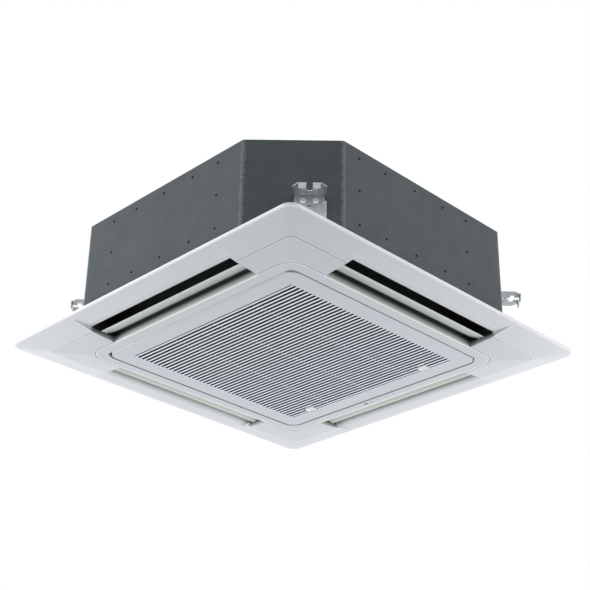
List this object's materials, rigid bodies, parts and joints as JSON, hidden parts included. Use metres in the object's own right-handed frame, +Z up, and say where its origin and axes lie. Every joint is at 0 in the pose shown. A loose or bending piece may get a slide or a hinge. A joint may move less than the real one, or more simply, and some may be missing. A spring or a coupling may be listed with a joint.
{
  "type": "cassette air conditioner",
  "caption": "Square four-way ceiling cassette unit: slatted hinged intake grille, swinging outlet flaps, octagonal steel casing with hanger brackets.",
  "frame": {"origin": "middle of the panel in the plane of the ceiling, where the rim's top face lies", "axes": "+Z up into the ceiling void, X along the slats of the grille, the grille's hinge on the -Y side"},
  "size_m": [0.95, 0.95, 0.2929],
  "materials": {
    "grey_plastic": "satin",
    "dark_plastic": "gloss",
    "casing_steel": "satin",
    "galvanised_steel": "satin",
    "fin_pack": "satin",
    "panel_abs": "satin",
    "acetal": "satin",
    "rubber": "matte",
    "eps_foam": "matte",
    "motor_alloy": "satin",
    "zinc_steel": "satin",
    "filter_plastic": "matte",
    "filter_net": "matte",
    "flap_abs": "satin",
    "brass": "satin",
    "copper": "satin",
    "white_abs": "satin",
    "lamp_lens": "gloss",
    "seal_foam": "matte",
    "board": "satin",
    "fan_plastic": "satin"
  },
  "bodies": {
    "unit": {"bell_mouth": "grey_plastic", "cable_gland": "dark_plastic", "casing_lid": "casing_steel", "casing_rivets": "casing_steel", "casing_wrap": "casing_steel", "coil_end_plates": "galvanised_steel", "coil_fins": "fin_pack", "control_box": "galvanised_steel", "control_box_lid": "galvanised_steel", "corner_cover_back_left": "panel_abs", "corner_cover_back_right": "panel_abs", "corner_cover_front_left": "panel_abs", "corner_cover_front_right": "panel_abs", "drain_hose": "rubber", "drain_pan": "eps_foam", "drain_pump": "dark_plastic", "drain_spigot": "grey_plastic", "fan_motor": "motor_alloy", "flap_bushes": "acetal", "flare_nuts": "brass", "float_stem": "grey_plastic", "gas_line": "copper", "hanger_bracket_back_left": "galvanised_steel", "hanger_bracket_back_right": "galvanised_steel", "hanger_bracket_front_left": "galvanised_steel", "hanger_bracket_front_right": "galvanised_steel", "hanger_screws": "zinc_steel", "hinge_lugs": "white_abs", "hinge_pins": "acetal", "indicator_lamps": "lamp_lens", "insulation_liner": "eps_foam", "liquid_line": "copper", "motor_bracket": "galvanised_steel", "motor_grommets": "rubber", "panel_bolts": "zinc_steel", "panel_frame": "panel_abs", "panel_seals": "seal_foam", "receiver_board": "board", "receiver_window": "dark_plastic", "return_bends": "copper", "swing_motor_back": "zinc_steel", "swing_motor_front": "zinc_steel", "swing_motor_left": "zinc_steel", "swing_motor_right": "zinc_steel"},
    "fan": {"turbo_fan": "fan_plastic", "motor_shaft": "zinc_steel", "fan_nut": "zinc_steel"},
    "right_flap": {"flap_right": "flap_abs"},
    "back_flap": {"flap_back": "flap_abs"},
    "left_flap": {"flap_left": "flap_abs"},
    "front_flap": {"flap_front": "flap_abs"},
    "grille": {"intake_grille": "panel_abs"},
    "left_latch": {"grille_latch_left": "white_abs"},
    "right_latch": {"grille_latch_right": "white_abs"},
    "filter": {"filter_frame": "filter_plastic", "filter_mesh": "filter_net"},
    "button": {"emergency_button": "grey_plastic"},
    "float": {"drain_float": "acetal"}
  },
  "joints": [
    {"name": "fan_spin", "type": "hinge", "parent": "unit", "child": "fan", "pos_m": [0, 0, 0.15], "axis": [0, 0, 1], "continuous": true},
    {"name": "right_flap_swing", "type": "hinge", "parent": "unit", "child": "right_flap", "pos_m": [0.367, 0, -0.0091], "axis": [0, 1, 0], "range_deg": [-15, 45]},
    {"name": "back_flap_swing", "type": "hinge", "parent": "unit", "child": "back_flap", "pos_m": [0, 0.367, -0.0091], "axis": [-1, 0, 0], "range_deg": [-15, 45]},
    {"name": "left_flap_swing", "type": "hinge", "parent": "unit", "child": "left_flap", "pos_m": [-0.367, 0, -0.0091], "axis": [0, -1, 0], "range_deg": [-15, 45]},
    {"name": "front_flap_swing", "type": "hinge", "parent": "unit", "child": "front_flap", "pos_m": [0, -0.367, -0.0091], "axis": [1, 0, 0], "range_deg": [-15, 45]},
    {"name": "grille_swing", "type": "hinge", "parent": "unit", "child": "grille", "pos_m": [0, -0.304, -0.021], "axis": [-1, 0, 0], "range_deg": [0, 90]},
    {"name": "left_latch_slide", "type": "slide", "parent": "grille", "child": "left_latch", "axis": [0, -1, 0], "range_m": [0, 0.006]},
    {"name": "right_latch_slide", "type": "slide", "parent": "grille", "child": "right_latch", "axis": [0, -1, 0], "range_m": [0, 0.006]},
    {"name": "filter_lift", "type": "slide", "parent": "grille", "child": "filter", "axis": [0, 0, 1], "range_m": [0, 0.012]},
    {"name": "button_press", "type": "slide", "parent": "unit", "child": "button", "axis": [0, 0, 1], "range_m": [0, 0.0015], "stiffness_N_per_m": 300, "springref_m": -0.001},
    {"name": "float_rise", "type": "slide", "parent": "unit", "child": "float", "axis": [0, 0, 1], "range_m": [0, 0.012]}
  ]
}
